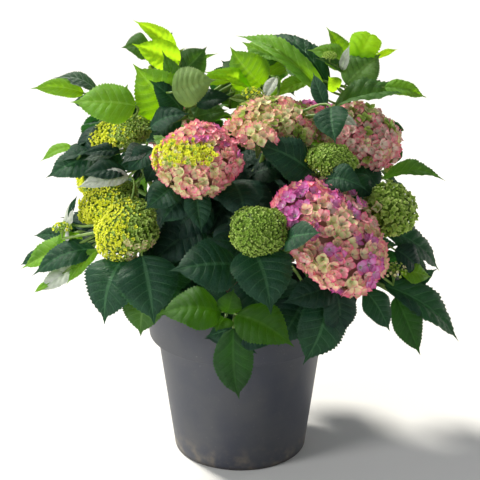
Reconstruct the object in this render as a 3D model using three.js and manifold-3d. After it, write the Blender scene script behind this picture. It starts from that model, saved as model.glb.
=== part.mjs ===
// A bigleaf hydrangea in flower, growing in a round plastic nursery pot.
// Millimetres, +Z up. The origin is the centre of the pot's flat underside.
// -Y is the front of the plant, +X its right. Every sub-part is one closed solid in its own mesh.

import * as THREE from "three";
import { mergeVertices } from "three/addons/utils/BufferGeometryUtils.js";
import Module from "manifold-3d";

const wasm = await Module();
wasm.setup();

// ---- Driving dimensions ------------------------------------------------------------------

const GAP = 0.5; // clear space left between neighbouring solids

const POT = {
  height: 250,
  baseRadius: 100, // outside, where the wall meets the rounded foot
  shoulderRadius: 124, // outside, where the wall meets the collar
  shoulderHeight: 186,
  collarRadius: 136, // outside, at the collar's lower edge
  rimRadius: 140, // outside, at the collar's upper edge
  wall: 2.4,
  floor: 3,
  footRound: 7,
  edgeRound: 1, // along the collar's lower edge and the rim
  sides: 24,
};
const DRAIN = { count: 6, radius: 6, ring: 74, sides: 8 };
const SOIL = { top: 222, crown: 5, ripple: 1.6 }; // height at the pot's wall, and the rise to the middle
const soilCrown = SOIL.top + SOIL.crown;

// The woody base of the stems. Boughs start at bedding, a share of its height and of its top's radius.
const STOOL = {
  footRadius: 27,
  neckRadius: 17,
  topRadius: 19,
  height: 34,
  sides: 10,
  bedding: { height: 0.6, out: 0.8 },
};
const BOUGH = { footRadius: 7.5, tipRadius: 5.2, rise: 18, sides: 6, steps: 2 };
const SHOOT = { footRadius: 4.6, tipRadius: 3.1, rise: 12, sides: 5, steps: 2 };

// A flower head keeps this share of its height beneath, and is uneven by a share of its radius. Domes
// higher than fine get smaller faces.
const BLOOM = { underside: 0.72, uneven: 0.05, fine: 52 };
const HEART = { uneven: 0.2, detail: 1, seed: 40 }; // the middle of a mass, and its first random seed

// An outermost leaf: the share of its mass's radius where it starts, its width and arch as shares of its
// length, and its thickness. Each mass also gets a ring of shorter filler leaves.
const LEAF = { heel: 0.62, width: 0.85, arch: 0.1, thickness: 22, sides: 4 };
const FILLER = { count: 2, reach: 1.35, beyond: 12, lowest: -38, highest: 46 };
const POT_CLEARANCE = 3; // between the pot and the leaves that hang over its rim

const COLOUR = {
  pot: 0x55565c,
  soil: 0x3a2a1e,
  wood: 0x7b6248,
  shoot: 0x6f8a3c,
  leaf: 0x2f6a2c,
  pink: 0xd98aa6,
  green: 0xa3bd3c,
};

// Main boughs: where each forks, as bearing (degrees from +X), distance from the axis and height,
// and the flower heads or masses that its shoots grow towards.
const BOUGHS = {
  front: { fork: [-84, 64, 300], shoots: ["pink_front", "green_left_low"] },
  right: { fork: [-12, 80, 306], shoots: ["top_right", "pink_right"] },
  back_right: { fork: [55, 74, 312], shoots: ["pink_back_right", "back_right"] },
  back_left: { fork: [125, 74, 316], shoots: ["pink_back", "green_back_left"] },
  left: { fork: [188, 80, 312], shoots: ["green_left", "pink_left"] },
  middle: { fork: [80, 18, 340], shoots: ["pink_middle", "top_left"] },
};

// Flower heads: centre, radii across, along and up, and the lean of the dome's axis from the vertical
// in degrees. A head leans away from the plant's axis unless it is given a bearing.
const BLOOMS = {
  pink_left: { at: [-58, -150, 497], radii: [67, 60, 46], lean: 34 },
  pink_middle: { at: [50, -40, 513], radii: [67, 60, 41], lean: 8 },
  pink_right: { at: [173, 2, 488], radii: [69, 66, 48], lean: 24 },
  pink_front: { at: [124, -180, 404], radii: [84, 98, 50], lean: 45, bearing: -30 },
  pink_back: { at: [-98, 168, 472], radii: [76, 72, 50], lean: 34 },
  pink_back_right: { at: [138, 168, 440], radii: [82, 78, 54], lean: 40 },
  green_left: { at: [-168, -26, 500], radii: [55, 46, 21], lean: 12 },
  green_left_low: { at: [-157, -134, 394], radii: [53, 50, 38], lean: 38 },
  green_left_rear: { at: [-186, -74, 410], radii: [50, 46, 26], lean: 24 },
  green_front: { at: [26, -226, 424], radii: [40, 36, 31], lean: 44 },
  green_right_rear: { at: [126, -96, 481], radii: [42, 36, 18], lean: 18 },
  green_right: { at: [208, -104, 411], radii: [42, 40, 37], lean: 46 },
  green_back: { at: [10, 222, 398], radii: [46, 42, 30], lean: 42 },
  green_back_left: { at: [-214, 108, 398], radii: [44, 42, 28], lean: 38 },
};

// Masses of foliage: centre, radii of the heart, and the outermost leaves, each as its bearing
// (degrees from +X), its climb above the horizontal and its reach from the mass's centre.
const MASSES = {
  front_skirt: {
    at: [0, -176, 284],
    radii: [62, 46, 34],
    leaves: [[-70, -74, 118], [-42, -4, 100], [-150, 5, 95], [-100, 36, 78]],
  },
  top_left: {
    at: [-104, 42, 556],
    radii: [66, 54, 38],
    leaves: [[155, 60, 96], [-160, 45, 100], [70, 40, 72], [35, 30, 84], [-130, 22, 98]],
  },
  top_middle: {
    at: [34, 62, 553],
    radii: [66, 58, 34],
    leaves: [[120, 38, 88], [85, 50, 70], [172, 22, 88], [10, 26, 84]],
  },
  top_right: {
    at: [170, 42, 560],
    radii: [62, 52, 36],
    leaves: [[155, 55, 88], [-10, 70, 74], [5, 38, 74], [-20, -8, 106]],
  },
  left_upper: {
    at: [-197, -12, 534],
    radii: [50, 50, 26],
    leaves: [[-175, 18, 106], [125, 5, 88], [-55, 10, 74]],
  },
  left_middle: {
    at: [-194, -30, 455],
    radii: [54, 62, 26],
    leaves: [[173, 3, 98], [-160, -5, 94], [-100, -5, 100], [140, 12, 92]],
  },
  left_low: {
    at: [-210, -30, 335],
    radii: [60, 72, 46],
    leaves: [[-170, -15, 110], [157, -2, 104], [-145, -24, 106], [-112, -5, 96]],
  },
  front_left: {
    at: [-118, -148, 330],
    radii: [76, 60, 50],
    leaves: [[-170, -36, 104], [-118, -42, 92], [-52, -16, 112], [-80, -44, 92]],
  },
  front_middle: {
    at: [2, -140, 394],
    radii: [84, 60, 46],
    leaves: [[-76, -30, 146], [-128, 12, 96], [-42, 15, 118], [-150, -12, 104]],
  },
  front_right: {
    at: [122, -156, 300],
    radii: [72, 56, 44],
    leaves: [[-118, -48, 96], [-22, -16, 96], [-140, -16, 92], [-55, -42, 84]],
  },
  right_low: {
    at: [218, -58, 306],
    radii: [54, 66, 50],
    leaves: [[-12, -44, 140], [-68, -48, 130], [28, -14, 90], [0, -34, 90]],
  },
  right_middle: {
    at: [214, 26, 402],
    radii: [50, 62, 40],
    leaves: [[-16, 14, 86], [55, -5, 92], [-70, -24, 104]],
  },
  back_top: {
    at: [20, 158, 512],
    radii: [70, 48, 38],
    leaves: [[62, 22, 104], [112, 8, 104], [150, 36, 90], [20, 38, 88]],
  },
  back_left: {
    at: [-168, 124, 466],
    radii: [58, 54, 30],
    leaves: [[150, 12, 100], [108, -4, 108], [178, 22, 94]],
  },
  back_right: {
    at: [204, 124, 456],
    radii: [50, 52, 34],
    leaves: [[40, 6, 88], [75, -8, 96], [10, 26, 84]],
  },
  back_middle: {
    at: [8, 172, 402],
    radii: [80, 48, 42],
    leaves: [[76, -22, 106], [132, 6, 104], [46, 4, 104]],
  },
  back_low_left: {
    at: [-150, 138, 322],
    radii: [72, 64, 54],
    leaves: [[132, -30, 122], [165, -16, 116], [98, -28, 118], [150, 16, 106]],
  },
  back_low_right: {
    at: [152, 140, 314],
    radii: [72, 62, 54],
    leaves: [[48, -32, 124], [15, -20, 122], [82, -26, 116], [28, 14, 108]],
  },
  back_skirt: {
    at: [4, 182, 298],
    radii: [62, 46, 44],
    leaves: [[92, -50, 126], [66, -18, 104], [120, -8, 104]],
  },
};

// ---- Small helpers -------------------------------------------------------------------------

const radians = THREE.MathUtils.degToRad;
const point = ([x, y, z]) => new THREE.Vector3(x, y, z);

// A unit vector from its bearing and climb in degrees.
function heading(bearing, climb) {
  const flat = Math.cos(radians(climb));
  return new THREE.Vector3(
    Math.cos(radians(bearing)) * flat,
    Math.sin(radians(bearing)) * flat,
    Math.sin(radians(climb)),
  );
}

// A repeatable stream of numbers from 0 to 1 (mulberry32).
function randomStream(seed) {
  let state = seed;
  return () => {
    state = (state + 0x6d2b79f5) | 0;
    let t = Math.imul(state ^ (state >>> 15), 1 | state);
    t = (t + Math.imul(t ^ (t >>> 7), 61 | t)) ^ t;
    return ((t ^ (t >>> 14)) >>> 0) / 2 ** 32;
  };
}

// Only the positions, with shared vertices merged and the faces that collapse at a pole dropped.
function closed(geometry) {
  const bare = new THREE.BufferGeometry();
  bare.setAttribute("position", geometry.getAttribute("position"));
  bare.setIndex(geometry.getIndex());
  const merged = mergeVertices(bare, 1e-3);
  const index = merged.getIndex().array;
  const kept = [];
  for (let i = 0; i < index.length; i += 3) {
    const [a, b, c] = index.slice(i, i + 3);
    if (a !== b && b !== c && c !== a) kept.push(a, b, c);
  }
  merged.setIndex(kept);
  return merged;
}

function toSolid(geometry) {
  const merged = closed(geometry);
  return new wasm.Manifold(
    new wasm.Mesh({
      numProp: 3,
      vertProperties: new Float32Array(merged.getAttribute("position").array),
      triVerts: new Uint32Array(merged.getIndex().array),
    }),
  );
}

function toGeometry(solid) {
  const { vertProperties, triVerts } = solid.getMesh();
  const geometry = new THREE.BufferGeometry();
  geometry.setAttribute("position", new THREE.Float32BufferAttribute(vertProperties, 3));
  geometry.setIndex(Array.from(triVerts));
  geometry.computeVertexNormals();
  return geometry;
}

const largest = (solid) => solid.decompose().reduce((a, b) => (a.volume() > b.volume() ? a : b));

const boxesMeet = (a, b) => {
  const [p, q] = [a.boundingBox(), b.boundingBox()];
  return [0, 1, 2].every((i) => p.min[i] < q.max[i] && q.min[i] < p.max[i]);
};

// A solid with its neighbours' grown shapes cut away.
const cutClear = (solid, neighbours) =>
  neighbours
    .filter((other) => boxesMeet(solid, other))
    .reduce((left, other) => left.subtract(other), solid);

// ---- Shapes --------------------------------------------------------------------------------

// A shape turned about +Z from a profile of [radius, height] points that starts and ends on the axis.
const turned = (profile, sides) =>
  new THREE.LatheGeometry(profile.map(([r, h]) => new THREE.Vector2(r, h)), sides).rotateX(Math.PI / 2);

// The pot's outside radius at a height of its tapered body, and at a height of its collar.
const { mapLinear } = THREE.MathUtils;
const bodyRadius = (height) =>
  mapLinear(height, 0, POT.shoulderHeight, POT.baseRadius, POT.shoulderRadius);
const collarRadius = (height) =>
  mapLinear(height, POT.shoulderHeight, POT.height, POT.collarRadius, POT.rimRadius);

// A thin tapered tub with a rounded foot, a wide collar that stands out from it, and drain holes.
function potSolid() {
  const ledge = POT.shoulderHeight;
  const foot = [0, 1, 2, 3].map((i) => {
    const turn = radians(30 * i);
    return [
      bodyRadius(POT.footRound) - POT.footRound * (1 - Math.sin(turn)),
      POT.footRound * (1 - Math.cos(turn)),
    ];
  });
  const outside = [
    ...foot,
    [POT.shoulderRadius, ledge],
    [POT.collarRadius - POT.edgeRound, ledge],
    [POT.collarRadius, ledge + 1.5 * POT.edgeRound],
    [POT.rimRadius, POT.height - 1.5 * POT.edgeRound],
    [POT.rimRadius - POT.edgeRound, POT.height],
  ];
  const inside = [
    [POT.rimRadius - POT.wall, POT.height],
    [POT.collarRadius - POT.wall, ledge + POT.wall],
    [POT.shoulderRadius - POT.wall, ledge + POT.wall],
    [bodyRadius(POT.floor) - POT.wall - 2, POT.floor],
  ];
  const tub = toSolid(turned([[0, 0], ...outside, ...inside, [0, POT.floor]], POT.sides));
  const holes = Array.from({ length: DRAIN.count }, (_, i) => {
    const turn = (2 * Math.PI * i) / DRAIN.count;
    const drill = new THREE.CylinderGeometry(DRAIN.radius, DRAIN.radius, 4 * POT.floor, DRAIN.sides);
    drill.rotateX(Math.PI / 2).translate(DRAIN.ring * Math.cos(turn), DRAIN.ring * Math.sin(turn), 0);
    return toSolid(drill);
  });
  return holes.reduce((left, hole) => left.subtract(hole), tub);
}

// Compost that fills the pot nearly to its rim, with a low rippled crown.
function soilGeometry() {
  const inset = POT.wall + 2 * GAP;
  const bottom = POT.floor + GAP;
  const ledge = POT.shoulderHeight + POT.wall + GAP;
  const brim = collarRadius(SOIL.top) - inset;
  const surface = [0.9, 0.66, 0.42].map((share, i) => [
    brim * share,
    SOIL.top + SOIL.crown * (1 - share ** 2) + (i % 2 ? -SOIL.ripple : SOIL.ripple),
  ]);
  return turned(
    [
      [0, bottom],
      [bodyRadius(bottom) - inset - 3, bottom],
      [POT.shoulderRadius - inset, ledge],
      [collarRadius(ledge) - inset, ledge],
      [brim, SOIL.top],
      ...surface,
      [STOOL.footRadius + 6, soilCrown],
      [0, soilCrown],
    ],
    POT.sides,
  );
}

// The short woody stool that all the stems grow from, flared at the soil.
function stoolGeometry(grow = 0) {
  const foot = soilCrown + GAP;
  const profile = [
    [STOOL.footRadius, 0],
    [STOOL.footRadius * 0.78, 0.22],
    [STOOL.neckRadius, 0.6],
    [STOOL.topRadius, 0.88],
    [STOOL.topRadius * 0.7, 1],
  ].map(([radius, share]) => [radius + grow, foot + STOOL.height * share + (share === 1 ? grow : 0)]);
  return turned([[0, foot], ...profile, [0, foot + STOOL.height + grow]], STOOL.sides);
}

const AXIS_X = new THREE.Vector3(1, 0, 0);
const AXIS_Y = new THREE.Vector3(0, 1, 0);

// A tapering limb: a capped cylinder whose rings are carried along a curve.
function limbGeometry(curve, { footRadius, tipRadius, sides, steps }) {
  const limb = new THREE.CylinderGeometry(1, 1, 1, sides, steps).rotateX(Math.PI / 2);
  const places = limb.getAttribute("position");
  const side = new THREE.Vector3();
  const up = new THREE.Vector3();
  for (let i = 0; i < places.count; i++) {
    const along = places.getZ(i) + 0.5;
    const radius = THREE.MathUtils.lerp(footRadius, tipRadius, along);
    const ahead = curve.getTangent(along);
    side.crossVectors(Math.abs(ahead.x) < 0.9 ? AXIS_X : AXIS_Y, ahead).normalize();
    up.crossVectors(ahead, side);
    const place = curve
      .getPoint(along)
      .addScaledVector(side, radius * places.getX(i))
      .addScaledVector(up, radius * places.getY(i));
    places.setXYZ(i, place.x, place.y, place.z);
  }
  return limb;
}

// A limb's path: it leaves the foot steeply and bends out to its end.
function limbPath(foot, end, rise) {
  const bend = foot.clone().lerp(end, 0.5);
  bend.z += rise;
  return new THREE.QuadraticBezierCurve3(foot, bend, end);
}

// A ball pushed in and out by a few slow waves, so that no two are alike.
function unevenBall(radii, swell, detail, seed) {
  const random = randomStream(seed);
  const waves = Array.from({ length: 5 }, () => ({
    along: heading(360 * random(), 180 * random() - 90),
    turns: 2 + 3 * random(),
    start: 2 * Math.PI * random(),
  }));
  const ball = new THREE.IcosahedronGeometry(1, detail);
  const places = ball.getAttribute("position");
  const ray = new THREE.Vector3();
  for (let i = 0; i < places.count; i++) {
    ray.fromBufferAttribute(places, i);
    const push = waves.reduce((sum, w) => sum + Math.sin(w.turns * ray.dot(w.along) + w.start), 0);
    ray.multiplyScalar(1 + (swell * push) / waves.length).multiply(point(radii));
    places.setXYZ(i, ray.x, ray.y, ray.z);
  }
  return ball;
}

// The even scale that makes a ball of these radii larger by at least grow everywhere.
const grownScale = (radii, grow) => Array(3).fill(1 + grow / Math.min(...radii));

// One leaf as a flat pointed lobe that arches out of the heart of its mass to its tip.
function leafGeometry(from, tip, grow) {
  const length = from.distanceTo(tip);
  const lobe = turned([[0, 0], [1, 0.36], [0.7, 0.72], [0, 1]], LEAF.sides);
  const halfWidth = (LEAF.width * length) / 2 + grow;
  const halfThick = LEAF.thickness / 2 + grow;
  const ahead = tip.clone().sub(from).normalize();
  const across = new THREE.Vector3(-ahead.y, ahead.x, 0).normalize();
  const normal = new THREE.Vector3().crossVectors(ahead, across);
  const places = lobe.getAttribute("position");
  for (let i = 0; i < places.count; i++) {
    const along = places.getZ(i) < 0.99 ? places.getZ(i) : 1 + (4 * grow) / length;
    const lift = 4 * LEAF.arch * length * along * (1 - along);
    const place = from
      .clone()
      .lerp(tip, along)
      .addScaledVector(across, halfWidth * places.getX(i))
      .addScaledVector(normal, halfThick * places.getY(i) + lift);
    places.setXYZ(i, place.x, place.y, place.z);
  }
  return lobe;
}

// How far it is from a mass's centre to the edge of its heart along a ray.
const edgeAlong = (ray, radii) => 1 / ray.clone().divide(point(radii)).length();

// The shorter leaves between the outermost ones: evenly round the mass, up and down in turn.
function fillers(radii, seed) {
  const random = randomStream(seed);
  const start = 360 * random();
  return Array.from({ length: FILLER.count }, (_, i) => {
    const bearing = start + (360 * (i + 0.5 * random())) / FILLER.count;
    const climb = (i % 2 ? FILLER.lowest : FILLER.highest) * random();
    return [bearing, climb, FILLER.reach * edgeAlong(heading(bearing, climb), radii) + FILLER.beyond];
  });
}

// A mass of foliage: an uneven heart with its leaves joined on.
function massSolid({ at, radii, leaves }, seed, grow = 0) {
  const centre = point(at);
  const heart = unevenBall(radii, HEART.uneven, HEART.detail, seed);
  heart.scale(...grownScale(radii, grow)).translate(...at);
  return [...leaves, ...fillers(radii, seed)].reduce((solid, [bearing, climb, reach]) => {
    const ray = heading(bearing, climb);
    const from = centre.clone().addScaledVector(ray, LEAF.heel * edgeAlong(ray, radii));
    const tip = centre.clone().addScaledVector(ray, reach);
    return solid.add(toSolid(leafGeometry(from, tip, grow)));
  }, toSolid(heart));
}

// A flower head: a domed cushion of florets, flatter beneath, that leans over.
function bloomSolid({ at, radii, lean, bearing }, seed, grow = 0) {
  const detail = Math.min(...radii) > BLOOM.fine ? 2 : 1;
  const dome = unevenBall(radii, BLOOM.uneven, detail, seed).scale(...grownScale(radii, grow));
  const places = dome.getAttribute("position");
  for (let i = 0; i < places.count; i++)
    if (places.getZ(i) < 0) places.setZ(i, places.getZ(i) * BLOOM.underside);
  const towards = bearing ?? THREE.MathUtils.radToDeg(Math.atan2(at[1], at[0]));
  const hinge = heading(towards + 90, 0);
  dome.applyMatrix4(new THREE.Matrix4().makeRotationAxis(hinge, radians(lean)));
  return toSolid(dome.translate(...at));
}

// ---- The plant -----------------------------------------------------------------------------

const material = (color, roughness) => new THREE.MeshStandardMaterial({ color, roughness, metalness: 0 });
const FINISH = {
  pot: material(COLOUR.pot, 0.55),
  soil: material(COLOUR.soil, 0.95),
  wood: material(COLOUR.wood, 0.85),
  shoot: material(COLOUR.shoot, 0.6),
  leaf: material(COLOUR.leaf, 0.5),
  pink: material(COLOUR.pink, 0.7),
  green: material(COLOUR.green, 0.7),
};

const plant = new THREE.Group();
function place(name, geometry, finish) {
  const mesh = new THREE.Mesh(geometry, finish);
  mesh.name = name;
  plant.add(mesh);
}

place("pot", toGeometry(potSolid()), FINISH.pot);
place("soil", closed(soilGeometry()), FINISH.soil);

// Flower heads come first, then each mass gives way to the heads, the pot and the masses before it.
const filled = [];
Object.entries(BLOOMS).forEach(([name, bloom], i) => {
  const solid = largest(cutClear(bloomSolid(bloom, i + 1), filled));
  place(`bloom_${name}`, toGeometry(solid), name.startsWith("pink") ? FINISH.pink : FINISH.green);
  filled.push(bloomSolid(bloom, i + 1, GAP + 1));
});
const potKeepOut = (() => {
  const radius = POT.rimRadius + POT_CLEARANCE;
  const top = POT.height + POT_CLEARANCE;
  return toSolid(turned([[0, -1], [radius, -1], [radius, top], [0, top]], POT.sides));
})();
filled.push(potKeepOut);
Object.entries(MASSES).forEach(([name, mass], i) => {
  const seed = HEART.seed + i;
  const solid = largest(cutClear(massSolid(mass, seed), filled));
  place(`foliage_${name}`, toGeometry(solid), FINISH.leaf);
  filled.push(massSolid(mass, seed, GAP + 1));
});
filled.splice(filled.indexOf(potKeepOut), 1);

// Boughs run from the stool to their forks, and shoots from the forks until they enter a mass or a head.
place("stool", closed(stoolGeometry()), FINISH.wood);
const woodwork = [toSolid(stoolGeometry(GAP))];
function placeLimb(name, foot, end, rise, size, finish) {
  const path = limbPath(foot, end, rise);
  const grown = { ...size, footRadius: size.footRadius + GAP, tipRadius: size.tipRadius + GAP };
  const limb = toSolid(limbGeometry(path, size));
  place(name, toGeometry(largest(cutClear(limb, [...filled, ...woodwork]))), finish);
  woodwork.push(toSolid(limbGeometry(path, grown)));
}
const forks = Object.entries(BOUGHS).map(([name, { fork, shoots }]) => {
  const [bearing, out, height] = fork;
  const foot = heading(bearing, 0).multiplyScalar(STOOL.topRadius * STOOL.bedding.out);
  foot.z = soilCrown + STOOL.height * STOOL.bedding.height;
  const end = heading(bearing, 0).multiplyScalar(out);
  end.z = height;
  placeLimb(`bough_${name}`, foot, end, BOUGH.rise, BOUGH, FINISH.wood);
  return { end, shoots };
});
forks.forEach(({ end, shoots }) =>
  shoots.forEach((target) => {
    const { at } = BLOOMS[target] ?? MASSES[target];
    placeLimb(`shoot_${target}`, end, point(at), SHOOT.rise, SHOOT, FINISH.shoot);
  }),
);

export default plant;
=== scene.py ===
"""Looks of a potted bigleaf hydrangea: leaves, flower heads, stems, potting mix and plastic pot round the
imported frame. Sizes are in millimetres, and MM turns them into Blender's metres. +Z is up, and the plant's
front faces -Y. A bearing is in degrees from +X towards +Y, and a climb is in degrees above the level."""

import math
import random

import bpy
import numpy as np
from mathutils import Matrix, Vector


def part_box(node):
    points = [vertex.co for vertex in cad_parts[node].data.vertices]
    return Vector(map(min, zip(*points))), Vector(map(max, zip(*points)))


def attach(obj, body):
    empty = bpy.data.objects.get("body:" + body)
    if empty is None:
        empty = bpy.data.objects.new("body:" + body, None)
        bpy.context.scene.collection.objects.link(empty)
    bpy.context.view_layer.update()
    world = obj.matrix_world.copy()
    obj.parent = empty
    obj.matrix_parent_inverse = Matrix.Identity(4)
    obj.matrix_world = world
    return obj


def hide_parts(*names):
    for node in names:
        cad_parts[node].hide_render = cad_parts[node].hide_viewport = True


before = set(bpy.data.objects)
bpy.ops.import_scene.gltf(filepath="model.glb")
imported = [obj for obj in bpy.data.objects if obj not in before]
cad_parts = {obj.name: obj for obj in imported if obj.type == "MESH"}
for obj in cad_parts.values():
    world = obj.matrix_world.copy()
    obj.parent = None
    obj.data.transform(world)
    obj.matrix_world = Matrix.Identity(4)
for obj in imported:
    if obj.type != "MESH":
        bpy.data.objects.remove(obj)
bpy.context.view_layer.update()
MM = 0.001
SEED = 20
GOLDEN = math.pi * (3 - math.sqrt(5))
UV_NAME = "OFBake"

# ---- Places
# Boughs and shoots follow the frame, and each flower head and mass takes its centre from its node.

SOIL_TOP = 227
# The stool's radii at its foot, neck and top, and its height. Then each bough: the bearing, distance out and
# height of its end, and the heads and masses that its shoots run to.
STOOL = {"foot": 27, "neck": 17, "top": 19, "height": 34}
BOUGHS = {
    "front": ((-84, 64, 300), ("bloom_pink_front", "bloom_green_left_low")),
    "right": ((-12, 80, 306), ("foliage_top_right", "bloom_pink_right")),
    "back_right": ((55, 74, 312), ("bloom_pink_back_right", "foliage_back_right")),
    "back_left": ((125, 74, 316), ("bloom_pink_back", "bloom_green_back_left")),
    "left": ((188, 80, 312), ("bloom_green_left", "bloom_pink_left")),
    "middle": ((80, 18, 340), ("bloom_pink_middle", "foliage_top_left")),
}

# Flower heads: radii across, along and up, the lean of the dome's axis, its bearing if it isn't outward,
# the floret's radius and the rule that deals out the tints.
HEADS = {
    "pink_left": ((66, 55, 43), 34, None, 10, "rose"),
    "pink_middle": ((72, 60, 41), 8, None, 10.5, "cream"),
    "pink_right": ((69, 66, 48), 24, None, 11.5, "dusky"),
    "pink_front": ((84, 98, 50), 45, -30, 13, "magenta"),
    "pink_back": ((68, 66, 46), 34, None, 11.5, "rose"),
    "pink_back_right": ((82, 78, 54), 40, None, 12, "magenta"),
    "green_left": ((55, 46, 21), 12, None, 3.9, "bud"),
    "green_left_low": ((53, 48, 35), 38, None, 3.9, "bud"),
    "green_left_rear": ((50, 46, 26), 24, None, 3.9, "bud"),
    "green_front": ((40, 36, 31), 44, None, 3.9, "bud"),
    "green_right_rear": ((42, 36, 18), 18, None, 3.9, "bud"),
    "green_right": ((42, 40, 37), 46, None, 6.5, "bud"),
    "green_back": ((46, 42, 30), 42, None, 6, "bud"),
    "green_back_left": ((44, 42, 28), 38, None, 6, "bud"),
}
# How far a head's dome goes on below its widest ring, as a share of its height above it.
UNDERSIDE = 0.72

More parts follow.
